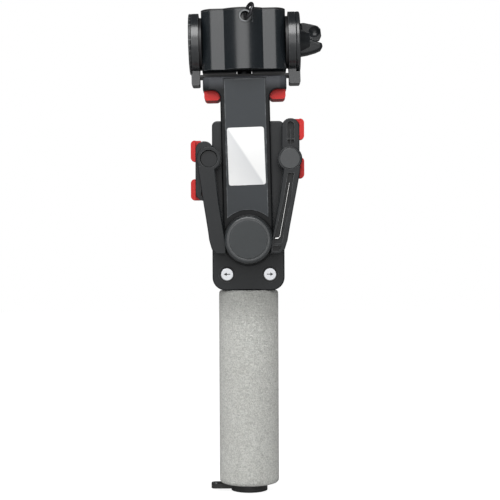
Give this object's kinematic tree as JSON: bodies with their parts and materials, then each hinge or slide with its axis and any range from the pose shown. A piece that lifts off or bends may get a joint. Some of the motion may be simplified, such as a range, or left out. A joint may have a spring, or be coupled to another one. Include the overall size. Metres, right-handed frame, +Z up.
{
  "type": "hand grip tripod head",
  "caption": "Hand-held camera grip with a clamped swinging mast, two folding cradle arms with rubber pads, and a pan-tilt drag head on top.",
  "frame": {"origin": "mouth of the threaded socket under the grip, on the grip's own axis", "axes": "+Z up the grip towards the head, +X to the right of the front face, -Y out of the front face, the one with the knob and arms"},
  "size_m": [0.0791, 0.0537, 0.2857],
  "materials": {
    "grip_wrap": "embossed linen-look wrap over foam",
    "shell_black": "fine satin texture",
    "arm_black": "satin",
    "head_black": "satin black anodised look",
    "panel_black": "satin, a little lighter",
    "label_white": "glossy",
    "red_rubber": "satin rubber",
    "black_rubber": "matt rubber",
    "chrome": "polished",
    "steel": "plain bright",
    "light_trim": "satin",
    "dark_steel": "blackened",
    "brass": "plain",
    "tube_alloy": "plain"
  },
  "bodies": {
    "handle": {"grip_sleeve": "grip_wrap", "grip_tube": "tube_alloy", "tube_plug": "tube_alloy", "end_cap": "black_rubber", "base_insert": "brass", "housing_front": "shell_black", "housing_back": "shell_black", "housing_screws": "dark_steel", "button_bezels": "black_rubber", "arm_pins": "steel", "clamp_nut": "steel"},
    "lug": {"strap_lug": "shell_black", "lug_grommet": "light_trim"},
    "left_release": {"left_button": "chrome"},
    "right_release": {"right_button": "chrome"},
    "clamp": {"clamp_stud": "steel", "clamp_knob": "arm_black", "knob_cap": "panel_black"},
    "mast": {"mast": "arm_black", "mast_panel": "panel_black", "label_plate": "label_white", "shoulder_pad_right": "red_rubber", "shoulder_pad_left": "red_rubber", "pan_nut": "steel", "pan_washer": "shell_black", "pan_bolt": "dark_steel"},
    "left_cradle_arm": {"left_arm": "arm_black", "left_hub_cap": "arm_black", "left_bar_pin": "steel", "left_wire": "steel"},
    "right_cradle_arm": {"right_arm": "arm_black", "right_hub_cap": "arm_black", "right_bar_pin": "steel", "right_wire": "steel"},
    "left_pad_bar": {"left_bar": "arm_black", "left_pads": "red_rubber"},
    "right_pad_bar": {"right_bar": "arm_black", "right_pads": "red_rubber"},
    "yoke": {"yoke_bridge": "head_black", "yoke_ear_right": "head_black", "yoke_ear_left": "head_black", "tilt_cover": "head_black"},
    "dial": {"drag_dial": "head_black"},
    "wing": {"wing_knob": "arm_black"},
    "drum": {"drum": "head_black", "top_plate": "head_black", "camera_socket": "steel", "eyelet": "dark_steel", "tilt_axle": "steel", "tilt_washers": "shell_black"},
    "ring": {"carry_ring": "dark_steel"}
  },
  "joints": [
    {"name": "lug_swivel", "type": "hinge", "parent": "handle", "child": "lug", "pos_m": [0, 0, 0.0026], "axis": [0, 0, 1], "continuous": true},
    {"name": "left_button_press", "type": "slide", "parent": "handle", "child": "left_release", "axis": [0, 1, 0], "range_m": [0, 0.0015], "stiffness_N_per_m": 800, "springref_m": -0.001},
    {"name": "right_button_press", "type": "slide", "parent": "handle", "child": "right_release", "axis": [0, 1, 0], "range_m": [0, 0.0015], "stiffness_N_per_m": 800, "springref_m": -0.001},
    {"name": "clamp_turn", "type": "hinge", "parent": "handle", "child": "clamp", "pos_m": [0, -0.032, 0.1489], "axis": [0, -1, 0], "continuous": true},
    {"name": "mast_swing", "type": "hinge", "parent": "handle", "child": "mast", "pos_m": [0, -0.018, 0.1489], "axis": [0, 1, 0], "range_deg": [-30, 30]},
    {"name": "left_arm_fold", "type": "hinge", "parent": "handle", "child": "left_cradle_arm", "pos_m": [-0.019, -0.0259, 0.1472], "axis": [0, -1, 0], "range_deg": [0, 120]},
    {"name": "right_arm_fold", "type": "hinge", "parent": "handle", "child": "right_cradle_arm", "pos_m": [0.019, -0.0259, 0.1472], "axis": [0, 1, 0], "range_deg": [0, 120]},
    {"name": "left_bar_turn", "type": "hinge", "parent": "left_cradle_arm", "child": "left_pad_bar", "pos_m": [-0.02254, -0.0201, 0.19566], "axis": [0, 1, 0], "range_deg": [0, 180]},
    {"name": "right_bar_turn", "type": "hinge", "parent": "right_cradle_arm", "child": "right_pad_bar", "pos_m": [0.02406, -0.0201, 0.19553], "axis": [0, 1, 0], "range_deg": [0, 180]},
    {"name": "head_pan", "type": "hinge", "parent": "mast", "child": "yoke", "pos_m": [-0.00194, -0.0069, 0.24528], "axis": [-0.0201, 0, 0.9998], "continuous": true},
    {"name": "head_tilt", "type": "hinge", "parent": "yoke", "child": "drum", "pos_m": [-0.00234, -0.0069, 0.26548], "axis": [-0.9998, 0, -0.0201], "range_deg": [-5, 90]},
    {"name": "drag_dial_turn", "type": "hinge", "parent": "yoke", "child": "dial", "pos_m": [-0.03403, -0.0069, 0.26484], "axis": [-0.9998, 0, -0.0201], "range_deg": [0, 270]},
    {"name": "wing_knob_turn", "type": "hinge", "parent": "yoke", "child": "wing", "pos_m": [0.03565, -0.0069, 0.26624], "axis": [0.9998, 0, 0.0201], "continuous": true},
    {"name": "ring_turn", "type": "hinge", "parent": "drum", "child": "ring", "pos_m": [0.00076, -0.02814, 0.28064], "axis": [0.8645, 0.4067, -0.2952], "continuous": true}
  ]
}
